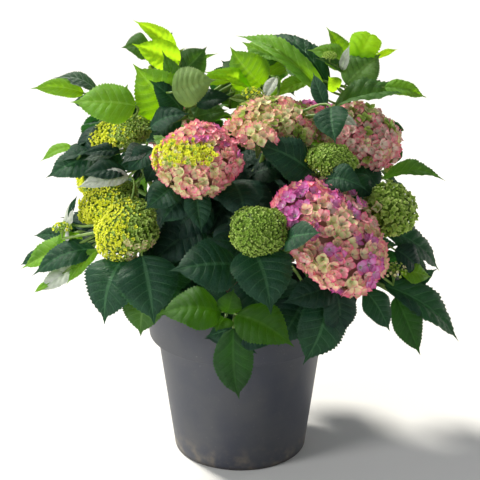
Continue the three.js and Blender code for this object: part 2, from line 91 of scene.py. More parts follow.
# The leaves that make the crown's outline and its front: tip, foot of the blade, width, the bearing and
# climb that the upper side faces, how far the blade arches and folds, and its tint. The tints paint the
# sunlight and shade on each leaf. The silver_sheen leaves are slivers of painted sheen, and the sheen leaves
# carry painted sheen along their veins.
LEAVES = {
    "top_left": [
        ((-154, 60, 643), (-92, 50, 597), 34, (-80, 30), 0.05, 0.7, "sunlit_lime"),
        ((-151, 0, 621), (-85, 20, 591), 46, (-95, 25), 0.06, 0.4, "sunlit_lime"),
        ((-169, 30, 609), (-127, 50, 603), 42, (-100, 35), 0.14, 0.2, "mid"),
        ((-149, -20, 597), (-90, 0, 523), 76, (-112, 30), 0.14, 0.2, "bright"),
        ((-126, -34, 577), (-82, -16, 527), 46, (-60, 30), 0.1, 0.2, "deep"),
        ((-235, -50, 550), (-145, -44, 543), 62, (-100, 38), 0.12, 0.2, "bright"),
        ((-156, -30, 571), (-171, -34, 532), 30, (-120, 30), 0.06, 0.25, "bright"),
        ((-294, -22, 562), (-220, -10, 553), 28, (-100, 35), 0.1, 0.3, "bright"),
        ((-265, -5, 573), (-201, 0, 549), 28, (-70, 60), 0.2, 0.3, "sheen"),
        ((-148, 20, 544), (-115, 10, 508), 40, (-95, 25), 0.1, 0.3, "sunlit_lime"),
        ((-68, -60, 536), (-125, -52, 513), 42, (-80, 60), 0.14, 0.4, "deep"),
        ((-98, 70, 626), (-97, 60, 602), 16, (-160, 20), 0.05, 0.6, "deep"),
        ((-48, 60, 604), (-86, 40, 568), 46, (-80, 25), 0.1, 0.2, "mid"),
        ((-32, 90, 588), (-72, 50, 566), 22, (-130, 60), 0.08, 0.9, "bright"),
        ((-33, -48, 581), (-94, -42, 562), 56, (-92, 24), 0.08, 0.1, "olive"),
        ((-110, 2, 612), (-83, 4, 527), 42, (-60, 5), 0.08, 0.3, "jade"),
        ((-6, -2, 567), (-52, 4, 568), 24, (-100, 40), 0.12, 0.4, "sunlit_lime"),
        ((-10, -16, 549), (-62, -8, 536), 32, (-85, 45), 0.1, 0.4, "shade"),
        ((-17, 0, 526), (-66, 0, 514), 32, (-85, 40), 0.1, 0.4, "mid"),
        ((-138, 60, 460), (-88, 60, 507), 50, (-100, 35), 0.1, 0.3, "deep"),
        ((-16, 70, 500), (-74, 70, 504), 40, (-85, 35), 0.1, 0.3, "mid"),
    ],
    "top_middle": [
        ((-53, 20, 576), (14, 30, 547), 36, (-85, 60), 0.14, 0.7, "sunlit_lime"),
        ((-28, 110, 573), (7, 90, 548), 34, (-110, 40), 0.1, 0.5, "deep"),
        ((-14, 40, 608), (32, 40, 551), 62, (-105, 30), 0.1, 0.3, "bright"),
        ((3, 112, 600), (77, 90, 566), 56, (-100, 30), 0.12, 0.4, "bright"),
        ((-6, 104, 611), (125, 0, 540), 46, (-115, 50), 0.25, 0.8, "bright"),
        ((25, 128, 606), (128, 30, 547), 44, (-70, 45), 0.2, 0.4, "deep"),
        ((31, -20, 542), (103, 20, 564), 30, (-95, 50), 0.1, 0.6, "bright"),
        ((31, -24, 543), (51, -4, 574), 20, (-110, 35), 0.05, 0.5, "silver_sheen"),
        ((-20, -10, 546), (23, 0, 534), 22, (-85, 60), 0.1, 0.5, "olive"),
        ((63, 70, 573), (99, 40, 565), 30, (-90, 40), 0.1, 0.4, "mid"),
    ],
    "top_right": [
        ((124, 60, 633), (149, 50, 578), 38, (-60, 25), 0.06, 0.6, "bright"),
        ((195, 110, 608), (162, 20, 585), 44, (-85, 30), 0.26, 0.1, "sunlit_lime"),
        ((202, 40, 598), (150, 4, 562), 54, (-90, 30), 0.12, 0.2, "jade"),
        ((233, 100, 592), (195, 70, 582), 15, (-90, 50), 0.08, 0.7, "sunlit_lime"),
        ((265, 0, 545), (133, -30, 538), 62, (-88, 72), 0.08, 0.7, "mid"),
        ((265, -4, 544), (203, -12, 561), 32, (-88, 50), 0.12, 0.5, "bright"),
        ((95, 20, 608), (150, 30, 582), 42, (-100, 45), 0.18, 0.3, "bright"),
        ((154, -2, 621), (145, 10, 581), 16, (-110, 35), 0.05, 0.4, "silver_sheen"),
        ((105, 0, 601), (145, 20, 576), 26, (-95, 50), 0.12, 0.7, "mid"),
        ((124, -10, 577), (139, 0, 556), 24, (-85, 20), 0.05, 0.3, "sunlit_lime"),
        ((129, -120, 510), (125, -70, 548), 50, (-100, 22), 0.1, 0.4, "deep"),
        ((102, -20, 585), (119, -50, 544), 26, (-110, 20), 0.08, 0.5, "deep"),
        ((163, -84, 524), (128, -70, 535), 20, (-80, 50), 0.1, 0.5, "silver_sheen"),
    ],
    "left_middle": [
        ((-292, 20, 442), (-244, 20, 465), 28, (-110, 60), 0.08, 0.5, "bright"),
        ((-272, -62, 444), (-201, -50, 472), 54, (-115, 45), 0.1, 0.3, "deep"),
        ((-243, -68, 446), (-203, -58, 469), 16, (-110, 40), 0.05, 0.3, "bright"),
        ((-221, -80, 483), (-166, -70, 485), 26, (-100, 50), 0.1, 0.5, "shade"),
        ((-217, -90, 478), (-176, -78, 482), 15, (-100, 40), 0.1, 0.4, "sheen"),
        ((-162, -100, 476), (-131, -80, 494), 32, (-100, 40), 0.1, 0.6, "sheen"),
        ((-221, -108, 461), (-157, -88, 460), 36, (-110, 52), 0.14, 0.4, "shade"),
        ((-225, -118, 446), (-153, -98, 458), 28, (-100, 35), 0.08, 0.3, "silver_sheen"),
        ((-126, -190, 440), (-88, -160, 463), 44, (-95, 40), 0.1, 0.4, "deep"),
        ((-156, -104, 465), (-118, -90, 494), 36, (-100, 40), 0.1, 0.4, "deep"),
        ((-172, -60, 455), (-131, -50, 472), 36, (-100, 40), 0.1, 0.3, "deep"),
        ((-133, -70, 437), (-112, -60, 469), 30, (-100, 35), 0.1, 0.3, "shade"),
    ],
    "left_low": [
        ((-227, -84, 426), (-246, -80, 355), 36, (-150, 35), 0.06, 0.3, "silver_sheen"),
        ((-225, -90, 428), (-239, -88, 393), 11, (-120, 35), 0.03, 0.3, "deep"),
        ((-304, 0, 335), (-256, -20, 337), 26, (-100, 60), 0.08, 0.5, "deep"),
        ((-315, -60, 306), (-227, -72, 346), 50, (-110, 50), 0.1, 0.5, "bright"),
        ((-318, -50, 307), (-275, -56, 334), 22, (-110, 45), 0.06, 0.3, "deep"),
        ((-253, -80, 374), (-233, -74, 343), 40, (-110, 35), 0.1, 0.3, "bright"),
        ((-293, -100, 311), (-203, -96, 350), 46, (-105, 55), 0.14, 0.3, "deep"),
        ((-291, -92, 282), (-217, -90, 331), 34, (-110, 45), 0.08, 0.3, "silver_sheen"),
        ((-293, -98, 284), (-266, -94, 301), 12, (-110, 45), 0.05, 0.3, "bright"),
        ((-244, -112, 302), (-199, -106, 352), 26, (-115, 40), 0.08, 0.4, "bright"),
    ],
    "front_left": [
        ((-185, -182, 273), (-158, -150, 357), 84, (-115, 35), 0.2, 0.2, "deep"),
        ((-115, -212, 285), (-132, -170, 368), 84, (-85, 32), 0.14, 0.3, "deep"),
        ((-135, -192, 259), (-123, -162, 312), 62, (-100, 30), 0.16, 0.3, "mid"),
        ((-92, -232, 370), (-2, -200, 366), 76, (-92, 42), 0.1, 0.2, "deep"),
        ((-42, -222, 410), (5, -200, 390), 36, (-90, 50), 0.1, 0.3, "shade"),
        ((-107, -180, 415), (-62, -150, 457), 50, (-95, 38), 0.1, 0.3, "shade"),
        ((-123, -152, 349), (-51, -120, 393), 72, (-95, 45), 0.1, 0.2, "shade"),
        ((-104, -140, 371), (-44, -100, 418), 64, (-100, 40), 0.1, 0.2, "shade"),
        ((-142, -120, 346), (-97, -110, 374), 44, (-100, 40), 0.1, 0.3, "shade"),
        ((-102, -140, 330), (-66, -130, 364), 44, (-95, 40), 0.1, 0.3, "shade"),
    ],
    "front_middle": [
        ((40, -272, 325), (15, -215, 396), 84, (-80, 38), 0.12, 0.3, "deep"),
        ((-50, -202, 410), (-58, -160, 457), 38, (-90, 35), 0.08, 0.4, "deep"),
        ((7, -192, 422), (-10, -120, 457), 66, (-85, 45), 0.1, 0.3, "shade"),
    ],
    "front_skirt": [
        ((-110, -243, 312), (-25, -226, 309), 62, (-90, 45), 0.16, 0.2, "leafy"),
        ((-8, -228, 344), (-17, -222, 305), 34, (-85, 25), 0.08, 0.3, "leafy"),
        ((-32, -246, 289), (-20, -224, 300), 36, (-95, 45), 0.16, 0.4, "leafy"),
        ((71, -262, 275), (-5, -228, 306), 64, (-80, 50), 0.1, 0.3, "leafy"),
        ((-1, -212, 174), (-9, -228, 287), 56, (-90, 8), 0.1, 0.35, "hanging"),
        ((48, -234, 267), (0, -222, 279), 44, (-85, 40), 0.12, 0.3, "shade"),
        ((-105, -196, 291), (-60, -150, 331), 66, (-95, 45), 0.1, 0.2, "deep"),
        ((-59, -206, 286), (-44, -160, 326), 66, (-95, 45), 0.1, 0.2, "shade"),
        ((35, -206, 280), (8, -150, 328), 70, (-85, 45), 0.1, 0.2, "shade"),
        ((86, -196, 288), (33, -150, 319), 66, (-80, 45), 0.1, 0.2, "shade"),
    ],
    "top_front": [
        ((16, -122, 513), (98, -108, 464), 64, (-85, 50), 0.12, 0.25, "deep"),
        ((168, -150, 457), (115, -130, 464), 46, (-88, 44), 0.16, 0.4, "deep"),
        ((104, -270, 437), (60, -228, 411), 48, (-85, 44), 0.12, 0.3, "deep"),
    ],
    "front_right": [
        ((51, -220, 257), (87, -180, 307), 62, (-85, 40), 0.1, 0.2, "shade"),
        ((55, -222, 320), (130, -190, 332), 50, (-85, 42), 0.1, 0.3, "shade"),
        ((85, -217, 228), (118, -190, 312), 74, (-70, 25), 0.12, 0.3, "deep"),
        ((128, -202, 253), (126, -190, 332), 54, (-60, 25), 0.12, 0.3, "shade"),
        ((207, -162, 253), (172, -150, 309), 43, (-70, 35), 0.14, 0.3, "deep"),
        ((185, -100, 428), (152, -90, 452), 38, (-80, 40), 0.1, 0.3, "deep"),
    ],
    "right_low": [
        ((255, -132, 203), (218, -120, 288), 46, (-70, 20), 0.1, 0.3, "hanging"),
        ((317, -80, 201), (203, -110, 300), 56, (-65, 45), 0.12, 0.5, "deep"),
        ((292, -30, 290), (202, -60, 366), 56, (-50, 50), 0.12, 0.4, "deep"),
        ((257, -80, 308), (218, -90, 347), 44, (-60, 40), 0.14, 0.3, "shade"),
        ((272, -90, 305), (226, -96, 318), 40, (-60, 50), 0.1, 0.3, "bright"),
    ],
    "right_middle": [
        ((302, 20, 413), (208, 10, 420), 38, (-90, 62), 0.18, 0.7, "mid"),
        ((202, -32, 413), (168, -20, 457), 44, (-80, 35), 0.12, 0.3, "shade"),
    ],
}

# ---- Small helpers


def place(x, y, z):
    """A point given in millimetres, in metres."""
    return np.array((x, y, z), float) * MM


def heading(bearing, climb):
    """A unit vector at a bearing and a climb in degrees."""
    b, c = math.radians(bearing), math.radians(climb)
    return np.array((math.cos(b) * math.cos(c), math.sin(b) * math.cos(c), math.sin(c)))


def unit(v):
    return v / max(float(np.linalg.norm(v)), 1e-9)


def across(v, ahead):
    """The part of v that is square to ahead, as a unit vector."""
    return unit(v - ahead * float(v @ ahead))


def jitter(rng, reach):
    """A random step, at most reach along each axis."""
    return np.array([rng.uniform(-reach, reach) for _ in range(3)])


def ball_point(high, turn):
    """The point of a unit ball at a height, turned about its upright axis."""
    ring = math.sqrt(max(0.0, 1 - high * high))
    return np.array((ring * math.cos(turn), ring * math.sin(turn), high))


def middle_of(node):
    """The middle of a node's box, in metres."""
    low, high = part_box(node)
    return (np.array(low) + np.array(high)) / 2


def turned_by(v, axis, angle):
    """v turned about a unit axis, by Rodrigues' formula."""
    c, s = math.cos(angle), math.sin(angle)
    return v * c + np.cross(axis, v) * s + axis * float(axis @ v) * (1 - c)


def bezier(a, b, c, steps):
    """Points of a curve from a to c that is drawn towards b."""
    t = np.linspace(0, 1, steps + 1)[:, None]
    return a * (1 - t) ** 2 + 2 * b * t * (1 - t) + c * t**2


def new_object(name, data):
    ob = bpy.data.objects.new(name, data)
    bpy.context.scene.collection.objects.link(ob)
    return ob


class Sheaf:
    """Gathers many small meshes with their UV places, to be made into one object."""

    def __init__(self):
        self.verts, self.faces, self.uvs, self.count = [], [], [], 0

    def add(self, verts, faces, uvs):
        self.verts.append(verts)
        self.faces.append(faces + self.count)
        self.uvs.append(uvs)
        self.count += len(verts)

    def build(self, name, material, slot, body="root"):
        """Makes the object, and says what it rides on. slot is not used."""
        verts = np.concatenate(self.verts).astype(np.float32)
        faces = np.concatenate(self.faces).astype(np.int32)
        uvs = np.concatenate(self.uvs).astype(np.float32)
        me = bpy.data.meshes.new(name)
        me.vertices.add(len(verts))
        me.vertices.foreach_set("co", verts.ravel())
        me.loops.add(faces.size)
        me.loops.foreach_set("vertex_index", faces.ravel())
        me.polygons.add(len(faces))
        me.polygons.foreach_set("loop_start", np.arange(0, faces.size, faces.shape[1]))
        me.update(calc_edges=True)
        layer = me.uv_layers.new(name=UV_NAME)
        layer.uv.foreach_set("vector", uvs[faces.ravel()].ravel())
        me.polygons.foreach_set("use_smooth", np.ones(len(faces), bool))
        me.materials.append(material)
        ob = new_object(name, me)
        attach(ob, body)
        return ob


def grid_faces(rows, cols):
    """Quads of a grid of rows by cols points, wound so that they face up when rows run ahead."""
    i, j = np.meshgrid(np.arange(rows - 1), np.arange(cols - 1), indexing="ij")
    a = (i * cols + j).ravel()
    return np.stack([a, a + cols, a + cols + 1, a + 1], 1)


def grid_uvs(u, v):
    """UV places of a grid, where u changes along a row and v from row to row."""
    return np.stack(np.broadcast_arrays(u, v), -1).reshape(-1, 2)


def band_faces(rings, sides):
    """Quads between rings that close on themselves."""
    i, j = np.meshgrid(np.arange(rings - 1), np.arange(sides), indexing="ij")
    a = (i * sides + j).ravel()
    b = (i * sides + (j + 1) % sides).ravel()
    return np.stack([a, b, b + sides, a + sides], 1)


def cap_faces(ring, tip, sides, upward=True):
    """Quads that close the ring which starts at one point number onto another point, the tip."""
    j = np.arange(0, sides, 2)
    edge = [ring + j, ring + (j + 1) % sides, ring + (j + 2) % sides]
    return np.stack([*(edge if upward else edge[::-1]), np.full_like(j, tip)], 1)


def tube(path, radii, sides, ripple=0.0, seed=0):
    """A closed tube round a path, with its UVs. ripple pushes its skin in and out."""
    path = np.asarray(path)
    rng = np.random.default_rng(seed)
    ahead = np.gradient(path, axis=0)
    ahead /= np.linalg.norm(ahead, axis=1)[:, None]
    side = across(np.array((0.31, 0.95, 0.05)), ahead[0])
    turn = np.linspace(0, 2 * np.pi, sides, endpoint=False)
    rings = []
    for p, a, r in zip(path, ahead, radii):
        side = across(side, a)
        skin = r * (1 + ripple * rng.uniform(-1, 1, sides))
        ring = (np.cos(turn) * skin)[:, None] * side + (np.sin(turn) * skin)[:, None] * np.cross(a, side)
        rings.append(p + ring)
    n = len(path)
    ends = np.array([path[0], path[-1] + ahead[-1] * radii[-1] * 0.4])
    low, high = n * sides, n * sides + 1
    faces = [band_faces(n, sides), cap_faces(0, low, sides, False), cap_faces(low - sides, high, sides)]
    uvs = grid_uvs(turn[None, :] / (2 * np.pi), np.linspace(0, 1, n)[:, None])
    uvs = np.concatenate([uvs, [(0.5, 0.0), (0.5, 1.0)]])
    return np.concatenate([*rings, ends]), np.concatenate(faces), uvs


# Each kind of stem: its radii in millimetres at its foot and at its end, and its sides.
STEMS = {
    "bough": (7.5, 5.2, 12),
    "shoot": (4.4, 3.0, 10),
    "twig": (3.2, 2.0, 8),
    "young": (2.6, 1.8, 8),
    "stalk": (2.3, 1.3, 6),
    "branchlet": (1.6, 0.8, 4),
    "sprig": (1.2, 0.8, 4),
}


def stem(kind, path, ripple=0.0, seed=0, swell=1.0):
    """An evenly tapering tube of one kind of stem. swell widens its rings."""
    thick, thin, sides = STEMS[kind]
    return tube(path, np.linspace(thick, thin, len(path)) * MM * swell, sides, ripple, seed)


# ---- Materials


def new_material(name):
    mat = bpy.data.materials.new(name)
    mat.use_nodes = True
    nt = mat.node_tree
    nt.nodes.clear()
    out = nt.nodes.new("ShaderNodeOutputMaterial")
    shader = nt.nodes.new("ShaderNodeBsdfPrincipled")
    nt.links.new(shader.outputs[0], out.inputs[0])
    return mat, nt, shader, out


def feed(nt, socket, value):
    """Sets a socket to a plain number or colour, or links it to another socket."""
    if isinstance(value, (int, float)):
        socket.default_value = value
    elif isinstance(value, tuple):
        socket.default_value = (*value, 1.0)
    else:
        nt.links.new(value, socket)


def maths(nt, operation, *values):
    made = nt.nodes.new("ShaderNodeMath")
    made.operation = operation
    for socket, value in zip(made.inputs, values):
        feed(nt, socket, value)
    return made.outputs[0]


def inverse(nt, value):
    return maths(nt, "SUBTRACT", 1.0, value)


def blend(nt, amount, a, b):
    """A colour mix of a and b, each a socket or a plain colour."""
    made = nt.nodes.new("ShaderNodeMix")
    made.data_type = "RGBA"
    feed(nt, made.inputs[0], amount)
    feed(nt, made.inputs[6], a)
    feed(nt, made.inputs[7], b)
    return made.outputs[2]


def ramp(nt, value, low, high):
    """0 up to low, 1 from high on, and smooth between."""
    made = nt.nodes.new("ShaderNodeMapRange")
    made.interpolation_type = "SMOOTHSTEP"
    made.inputs[1].default_value = low
    made.inputs[2].default_value = high
    nt.links.new(value, made.inputs[0])
    return made.outputs[0]


def noise(nt, scale, detail, where):
    made = nt.nodes.new("ShaderNodeTexNoise")
    made.inputs["Scale"].default_value = scale
    made.inputs["Detail"].default_value = detail
    nt.links.new(where, made.inputs["Vector"])
    return made.outputs["Fac"]


def bump(nt, shader, height, strength, distance):
    made = nt.nodes.new("ShaderNodeBump")
    made.inputs["Strength"].default_value = strength
    made.inputs["Distance"].default_value = distance
    nt.links.new(height, made.inputs["Height"])
    nt.links.new(made.outputs[0], shader.inputs["Normal"])


def object_place(nt):
    return nt.nodes.new("ShaderNodeTexCoord").outputs["Object"]


def blade_place(nt):
    """The UV place on a leaf or a sepal, and its parts across the blade and along it."""
    uv = nt.nodes.new("ShaderNodeUVMap")
    uv.uv_map = UV_NAME
    parts = nt.nodes.new("ShaderNodeSeparateXYZ")
    nt.links.new(uv.outputs[0], parts.inputs[0])
    return uv.outputs[0], parts.outputs[0], parts.outputs[1]


def shine_through(nt, shader, out, colour, share):
    """Adds the light that comes through a thin blade, as a share of the whole."""
    thin = nt.nodes.new("ShaderNodeBsdfTranslucent")
    thin.inputs["Color"].default_value = (*colour, 1.0)
    both = nt.nodes.new("ShaderNodeMixShader")
    both.inputs[0].default_value = share
    nt.links.new(shader.outputs[0], both.inputs[1])
    nt.links.new(thin.outputs[0], both.inputs[2])
    nt.links.new(both.outputs[0], out.inputs[0])


# Side veins on each half of a blade, and how far along it they lead from the midrib to the edge.
VEINS = 8
VEIN_LEAD = 0.17


def leaf_material(name, blade, vein, through, glow=0.4):
    """A quilted leaf. blade and vein are the colours of its blade and veins, which in most tints also hold
    painted sunlight, shade and sheen, through is the colour that shines through it, and glow is how much
    does."""
    mat, nt, shader, out = new_material(name)
    uv, u, v = blade_place(nt)
    off = maths(nt, "ABSOLUTE", maths(nt, "MULTIPLY_ADD", u, 2.0, -1.0))
    along = maths(nt, "SUBTRACT", v, maths(nt, "MULTIPLY", off, VEIN_LEAD))
    wave = maths(nt, "ABSOLUTE", maths(nt, "SINE", maths(nt, "MULTIPLY", along, math.pi * VEINS)))
    fading = inverse(nt, ramp(nt, off, 0.6, 1.0))
    side_vein = maths(nt, "MULTIPLY", inverse(nt, ramp(nt, wave, 0.05, 0.3)), fading)
    midrib = inverse(nt, ramp(nt, off, 0.03, 0.09))
    veins = maths(nt, "MAXIMUM", midrib, maths(nt, "MULTIPLY", side_vein, 0.6))
    net = nt.nodes.new("ShaderNodeTexVoronoi")
    net.feature = "DISTANCE_TO_EDGE"
    net.inputs["Scale"].default_value = 26.0
    nt.links.new(uv, net.inputs["Vector"])
    meshes = ramp(nt, net.outputs["Distance"], 0.0, 0.22)
    blotch = ramp(nt, noise(nt, 5.0, 4.0, uv), 0.3, 0.75)
    flesh = blend(nt, blotch, blade, tuple(0.72 * x for x in blade))
    flesh = blend(nt, maths(nt, "MULTIPLY", inverse(nt, meshes), 0.22), flesh, vein)
    flesh = blend(nt, maths(nt, "MULTIPLY", ramp(nt, off, 0.9, 1.0), 0.35), flesh, vein)
    nt.links.new(blend(nt, veins, flesh, vein), shader.inputs["Base Color"])
    shader.inputs["Roughness"].default_value = 0.5
    shader.inputs["Specular IOR Level"].default_value = 0.32
    relief = maths(nt, "SUBTRACT", meshes, maths(nt, "MULTIPLY", side_vein, 1.5))
    bump(nt, shader, relief, 0.55, 0.0007)
    shine_through(nt, shader, out, through, glow)
    return mat


# Leaves: the colours of the blade, of its veins and of the light through it, and for one its share.
# The tints are lit and shaded copies of one green: sunlit_lime and bright are painted sunlight, deep, shade
# and hanging are painted shade, and mid, jade and leafy paint the light between. olive is a duller
# underside.
# The near white veins and edges of sheen and the near white blade of silver_sheen are painted sheen.
LEAF_TINTS = {
    "sunlit_lime": ((0.38, 0.94, 0.03), (0.24, 0.66, 0.03), (0.62, 1.0, 0.02), 0.78),
    "bright": ((0.12, 0.33, 0.022), (0.30, 0.54, 0.10), (0.40, 0.80, 0.0)),
    "leafy": ((0.024, 0.100, 0.008), (0.060, 0.17, 0.02), (0.09, 0.29, 0.0)),
    "hanging": ((0.009, 0.056, 0.012), (0.045, 0.14, 0.036), (0.04, 0.17, 0.01)),
    "mid": ((0.042, 0.135, 0.030), (0.15, 0.28, 0.09), (0.12, 0.32, 0.02)),
    "jade": ((0.095, 0.215, 0.050), (0.20, 0.36, 0.11), (0.16, 0.36, 0.03)),
    "olive": ((0.25, 0.42, 0.12), (0.24, 0.36, 0.10), (0.26, 0.42, 0.03)),
    "deep": ((0.007, 0.054, 0.034), (0.070, 0.20, 0.095), (0.03, 0.14, 0.02)),
    "shade": ((0.005, 0.038, 0.029), (0.042, 0.12, 0.065), (0.02, 0.09, 0.02)),
    "sheen": ((0.050, 0.105, 0.075), (0.62, 0.72, 0.62), (0.06, 0.18, 0.05)),
    "silver_sheen": ((0.78, 0.84, 0.76), (0.90, 0.92, 0.88), (0.30, 0.44, 0.20)),
}

# Sepals: their colour at the foot, in the middle and along the edge. yellow is the young florets'
# green painted in sunlight.
SEPAL_TINTS = {
    "magenta": ((0.82, 0.78, 0.94), (0.78, 0.36, 0.68), (0.66, 0.03, 0.34)),
    "rose": ((0.90, 0.88, 0.72), (0.98, 0.56, 0.58), (0.86, 0.05, 0.22)),
    "salmon": ((0.80, 0.82, 0.66), (0.96, 0.84, 0.52), (0.92, 0.14, 0.34)),
    "cream": ((0.46, 0.62, 0.14), (0.80, 0.88, 0.46), (0.92, 0.46, 0.40)),
    "dusky": ((0.84, 0.84, 0.76), (0.90, 0.78, 0.66), (0.84, 0.16, 0.30)),
    "green": ((0.18, 0.34, 0.04), (0.38, 0.56, 0.10), (0.54, 0.66, 0.20)),
    "bud": ((0.10, 0.22, 0.02), (0.26, 0.44, 0.05), (0.46, 0.62, 0.14)),
    "yellow": ((0.36, 0.48, 0.01), (0.80, 0.86, 0.04), (0.98, 0.94, 0.14)),
}
BEAD_TINT = ((0.30, 0.38, 0.12), (0.46, 0.50, 0.24), (0.6, 0.6, 0.38))
# The head cores' dark colours are painted shade: the shadow deep inside a head.
SHADED_CORE_TINTS = {
    "green": ((0.10, 0.19, 0.02), (0.14, 0.24, 0.03), (0.12, 0.22, 0.03)),
    "pink": ((0.32, 0.24, 0.12), (0.40, 0.22, 0.18), (0.28, 0.24, 0.10)),
}


def sepal_material(name, foot, middle, edge):
    mat, nt, shader, out = new_material(name)
    uv, u, v = blade_place(nt)
    off = maths(nt, "ABSOLUTE", maths(nt, "SUBTRACT", u, 0.5))
    colour = blend(nt, ramp(nt, v, 0.12, 0.34), foot, middle)
    to_edge = maths(nt, "MAXIMUM", ramp(nt, v, 0.5, 0.9), ramp(nt, off, 0.32, 0.5))
    colour = blend(nt, to_edge, colour, edge)
    rays = ramp(nt, noise(nt, 9.0, 2.0, uv), 0.35, 0.7)
    colour = blend(nt, maths(nt, "MULTIPLY", rays, 0.25), colour, middle)
    nt.links.new(colour, shader.inputs["Base Color"])
    shader.inputs["Roughness"].default_value = 0.55
    shader.inputs["Specular IOR Level"].default_value = 0.3
    shine_through(nt, shader, out, middle, 0.25)
    return mat


def stem_material(name, low, high, scale, rough, depth):
    """Bark or green skin: two colours in streaks, with fine relief."""
    mat, nt, shader, _ = new_material(name)
    streaks = noise(nt, scale, 5.0, object_place(nt))
    nt.links.new(blend(nt, ramp(nt, streaks, 0.3, 0.7), low, high), shader.inputs["Base Color"])
    shader.inputs["Roughness"].default_value = rough
    bump(nt, shader, streaks, 0.6, depth)
    return mat


# ---- Leaves

LEAF_ROWS = 45
LEAF_COLS = 11
# How round a blade's foot and tip are. Then, along its length, where its round ends, how wide the drip tip
# is for each bit of length left, its widest, and where it starts. A tooth is a share of the half width.
BLADE_ROUND = (0.6, 0.92)
DRIP_TIP = (0.9, 0.85, 0.1, 0.6)
TOOTH = 0.075
# The blade's relief. The quilt between its veins and its sway are shares of its length, the wave and the
# downward curl of its edge are shares of its half width, and the twist is in radians.
QUILT, SWAY, WAVE, CURL, TWIST = 0.042, 0.04, 0.10, 0.32, 0.25


def leaf_outline(t):
    """Half the blade's width over its length: round at the foot, widest at two fifths, and drawn out into a
    narrow drip tip past the round of the blade."""
    foot, tip = BLADE_ROUND
    body, taper, spike, start = DRIP_TIP
    peak = foot / (foot + tip)
    s = np.clip(t / body, 0, 1)
    shape = s**foot * (1 - s) ** tip / (peak**foot * (1 - peak) ** tip)
    return np.maximum(shape, np.clip(taper * (1 - t), 0, spike) * (t > start))


def leaf_blade(tip, foot, width, faces, arch, fold, seed):
    """A quilted blade with a toothed edge, from its foot to its tip. Everything is in metres."""
    rng = np.random.default_rng(seed)
    length = float(np.linalg.norm(tip - foot))
    ahead = unit(tip - foot)
    up = across(faces, ahead)
    side = np.cross(up, ahead)
    t = np.linspace(0, 1, LEAF_ROWS)[:, None]
    u = np.linspace(-1, 1, LEAF_COLS)[None, :]
    off = np.abs(u)
    half = width / 2 * np.maximum(leaf_outline(t), 0.012)
    teeth = (np.arange(LEAF_ROWS)[:, None] % 2) * np.clip(6 * (1 - t), 0, 1) * np.clip(8 * t, 0, 1)
    at_edge = (off > 0.99).astype(float)
    reach = half * (off + at_edge * teeth * TOOTH)
    forward = t + at_edge * teeth * 0.5 / LEAF_ROWS
    waves, start, lag = rng.uniform(1.2, 2.2), rng.uniform(), rng.uniform(1, 4)
    wave = WAVE * np.sin(2 * np.pi * (waves * t + start) + (u > 0) * lag)
    ridges = np.abs(np.sin(np.pi * VEINS * (t - VEIN_LEAD * off))) ** 0.8
    cross = np.abs(np.sin(np.pi * (5.0 * off + 1.3 * np.sin(9 * t)))) ** 0.5
    inside = off / (off + 0.1) * (1 - 0.5 * off**2)
    quilt = QUILT * length * ridges * (0.72 + 0.28 * cross) * inside * np.clip(leaf_outline(t) * 1.3, 0, 1)
    cup = math.sin(fold) * reach - CURL * half * off**3 + wave * half * off**2
    spread = reach * math.cos(fold)
    spine = arch * length * np.sin(np.pi * t**0.85)
    sway = SWAY * length * rng.uniform(-1, 1) * np.sin(np.pi * t)
    twist = rng.uniform(-TWIST, TWIST) * t
    lift = cup + quilt
    x = spread * np.sign(u)
    xs = x * np.cos(twist) - lift * np.sin(twist) + sway
    zs = x * np.sin(twist) + lift * np.cos(twist) + spine
    points = foot + (forward * length)[..., None] * ahead + xs[..., None] * side + zs[..., None] * up
    return points.reshape(-1, 3), grid_faces(LEAF_ROWS, LEAF_COLS), grid_uvs(0.5 + 0.5 * u, t)


leaf_sheaves = {tint: Sheaf() for tint in LEAF_TINTS}
stalks = Sheaf()
leaf_count = 0


def grow_leaf(tip, foot, width, faces, arch, fold, tint, node_at):
    """One leaf, and its stalk from the node on the shoot."""
    global leaf_count
    leaf_count += 1
    leaf_sheaves[tint].add(*leaf_blade(tip, foot, width, faces, arch, fold, SEED + leaf_count))
    ahead = unit(tip - foot)
    bend = foot - ahead * 0.35 * float(np.linalg.norm(foot - node_at))
    stalks.add(*stem("stalk", bezier(node_at, bend, foot + ahead * 4 * MM, 6)))


# ---- Stems: the stool, boughs and shoots of the frame, with bark, and the twigs that grow on from them

LONGEST_STALK = 60
shoot_paths = {}


def limb_path(foot, end, rise, steps):
    """A curve between two points that bows up by rise."""
    return bezier(foot, (foot + end) / 2 + place(0, 0, rise), end, steps)


def build_stool():
    """The woody stool, from a little below the potting mix."""
    sunk, rows = 4, 14
    path, radii = [], []
    for up in np.linspace(0, 1, rows):
        path.append(place(0, 0, SOIL_TOP - sunk + (STOOL["height"] + sunk) * up))
        flare = STOOL["foot"] * (1 - up) ** 2 + STOOL["neck"] * 2 * up * (1 - up) + STOOL["top"] * up**2
        radii.append(flare * MM)
    bark.add(*tube(path, radii, 28, 0.07, 3))


def build_boughs():
    """The boughs, and the green shoots from each bough's end, which swell at every eighth ring."""
    for number, ((bearing, out, height), targets) in enumerate(BOUGHS.values()):
        ray = heading(bearing, 0)
        foot = ray * STOOL["top"] * 0.8 * MM + place(0, 0, SOIL_TOP + STOOL["height"] * 0.6)
        end = ray * out * MM + place(0, 0, height)
        bark.add(*stem("bough", limb_path(foot, end, 18, 20), 0.08, number + 10))
        for target in targets:
            path = limb_path(end, middle_of(target), 12, 24)
            swell = 1 + 0.16 * (np.arange(len(path)) % 8 == 4)
            green.add(*stem("shoot", path, 0.03, number + 30, swell))
            shoot_paths[target] = path


